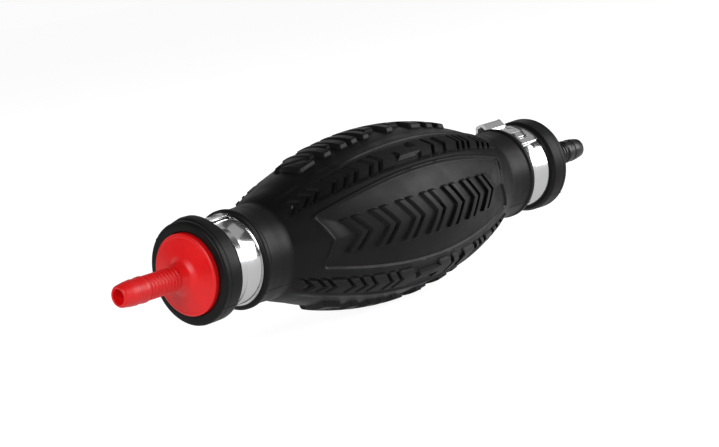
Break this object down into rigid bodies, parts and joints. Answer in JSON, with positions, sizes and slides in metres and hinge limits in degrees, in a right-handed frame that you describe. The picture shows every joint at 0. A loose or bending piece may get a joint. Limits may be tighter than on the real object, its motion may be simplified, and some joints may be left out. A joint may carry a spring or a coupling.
{
  "type": "in-line hand primer bulb pump",
  "caption": "Rubber squeeze bulb pump with barbed hose ends held by steel ear clamps and a spring-loaded check valve in each neck.",
  "frame": {"origin": "centre of the bulb, on its axis", "axes": "+X along the bulb towards the outlet, -Y out of the label-side panel, +Z out of one grip tread"},
  "size_m": [0.2012, 0.0496, 0.0508],
  "materials": {
    "bulb_rubber": "satin moulded rubber",
    "red_plastic": "glossy moulded acetal",
    "black_plastic": "glossy moulded acetal",
    "clamp_steel": "polished stainless strip",
    "valve_plastic": "natural moulded nylon",
    "seal_rubber": "soft nitrile",
    "spring_steel": "drawn stainless wire",
    "mesh_steel": "thin pierced stainless sheet"
  },
  "bodies": {
    "root": {"bulb_shell": "bulb_rubber", "inlet_fitting": "red_plastic", "inlet_clamp": "clamp_steel", "inlet_strainer": "mesh_steel", "inlet_gasket": "seal_rubber", "inlet_valve_body": "valve_plastic", "inlet_spring": "spring_steel", "inlet_spring_cage": "valve_plastic", "outlet_fitting": "black_plastic", "outlet_clamp": "clamp_steel", "outlet_gasket": "seal_rubber", "outlet_valve_body": "valve_plastic", "outlet_spring": "spring_steel", "outlet_spring_cage": "valve_plastic"},
    "front_wall": {"front_squeeze_wall": "bulb_rubber"},
    "back_wall": {"back_squeeze_wall": "bulb_rubber"},
    "inlet_valve": {"inlet_poppet": "valve_plastic", "inlet_poppet_seal": "seal_rubber"},
    "outlet_valve": {"outlet_poppet": "valve_plastic", "outlet_poppet_seal": "seal_rubber"}
  },
  "joints": [
    {"name": "front_squeeze", "type": "slide", "parent": "root", "child": "front_wall", "axis": [0, 1, 0], "range_m": [0, 0.007], "stiffness_N_per_m": 1500},
    {"name": "back_squeeze", "type": "slide", "parent": "root", "child": "back_wall", "axis": [0, -1, 0], "range_m": [0, 0.007], "stiffness_N_per_m": 1500},
    {"name": "inlet_valve_lift", "type": "slide", "parent": "root", "child": "inlet_valve", "axis": [1, 0, 0], "range_m": [0, 0.002], "stiffness_N_per_m": 60, "springref_m": -0.001, "deforming": ["inlet_spring"]},
    {"name": "outlet_valve_lift", "type": "slide", "parent": "root", "child": "outlet_valve", "axis": [1, 0, 0], "range_m": [0, 0.002], "stiffness_N_per_m": 60, "springref_m": -0.001, "deforming": ["outlet_spring"]}
  ],
  "couplings": [
    {"joint": "back_squeeze", "follows": "front_squeeze", "ratio": 1}
  ]
}
